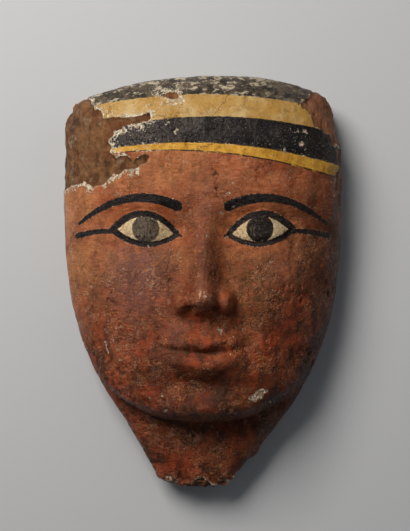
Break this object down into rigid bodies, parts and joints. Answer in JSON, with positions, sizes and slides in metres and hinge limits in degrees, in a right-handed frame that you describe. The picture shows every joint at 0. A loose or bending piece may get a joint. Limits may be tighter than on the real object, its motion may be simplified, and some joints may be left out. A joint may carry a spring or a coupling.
{
  "type": "painted wooden mummy mask",
  "caption": "Carved and painted wooden face from a coffin lid, with a striped headdress front, a broken neck stub and a hollow back.",
  "frame": {"origin": "the middle of the mask's box, on the flat back that it lies on", "axes": "+X to the viewer's right, +Y up the face to the crown, +Z out of the face"},
  "size_m": [0.164, 0.24, 0.078],
  "materials": {
    "painted_wood": "red-brown paint on gesso over wood, worn, cracked and chipped, dull"
  },
  "bodies": {
    "root": {"carved_mask": "painted_wood"}
  },
  "joints": []
}
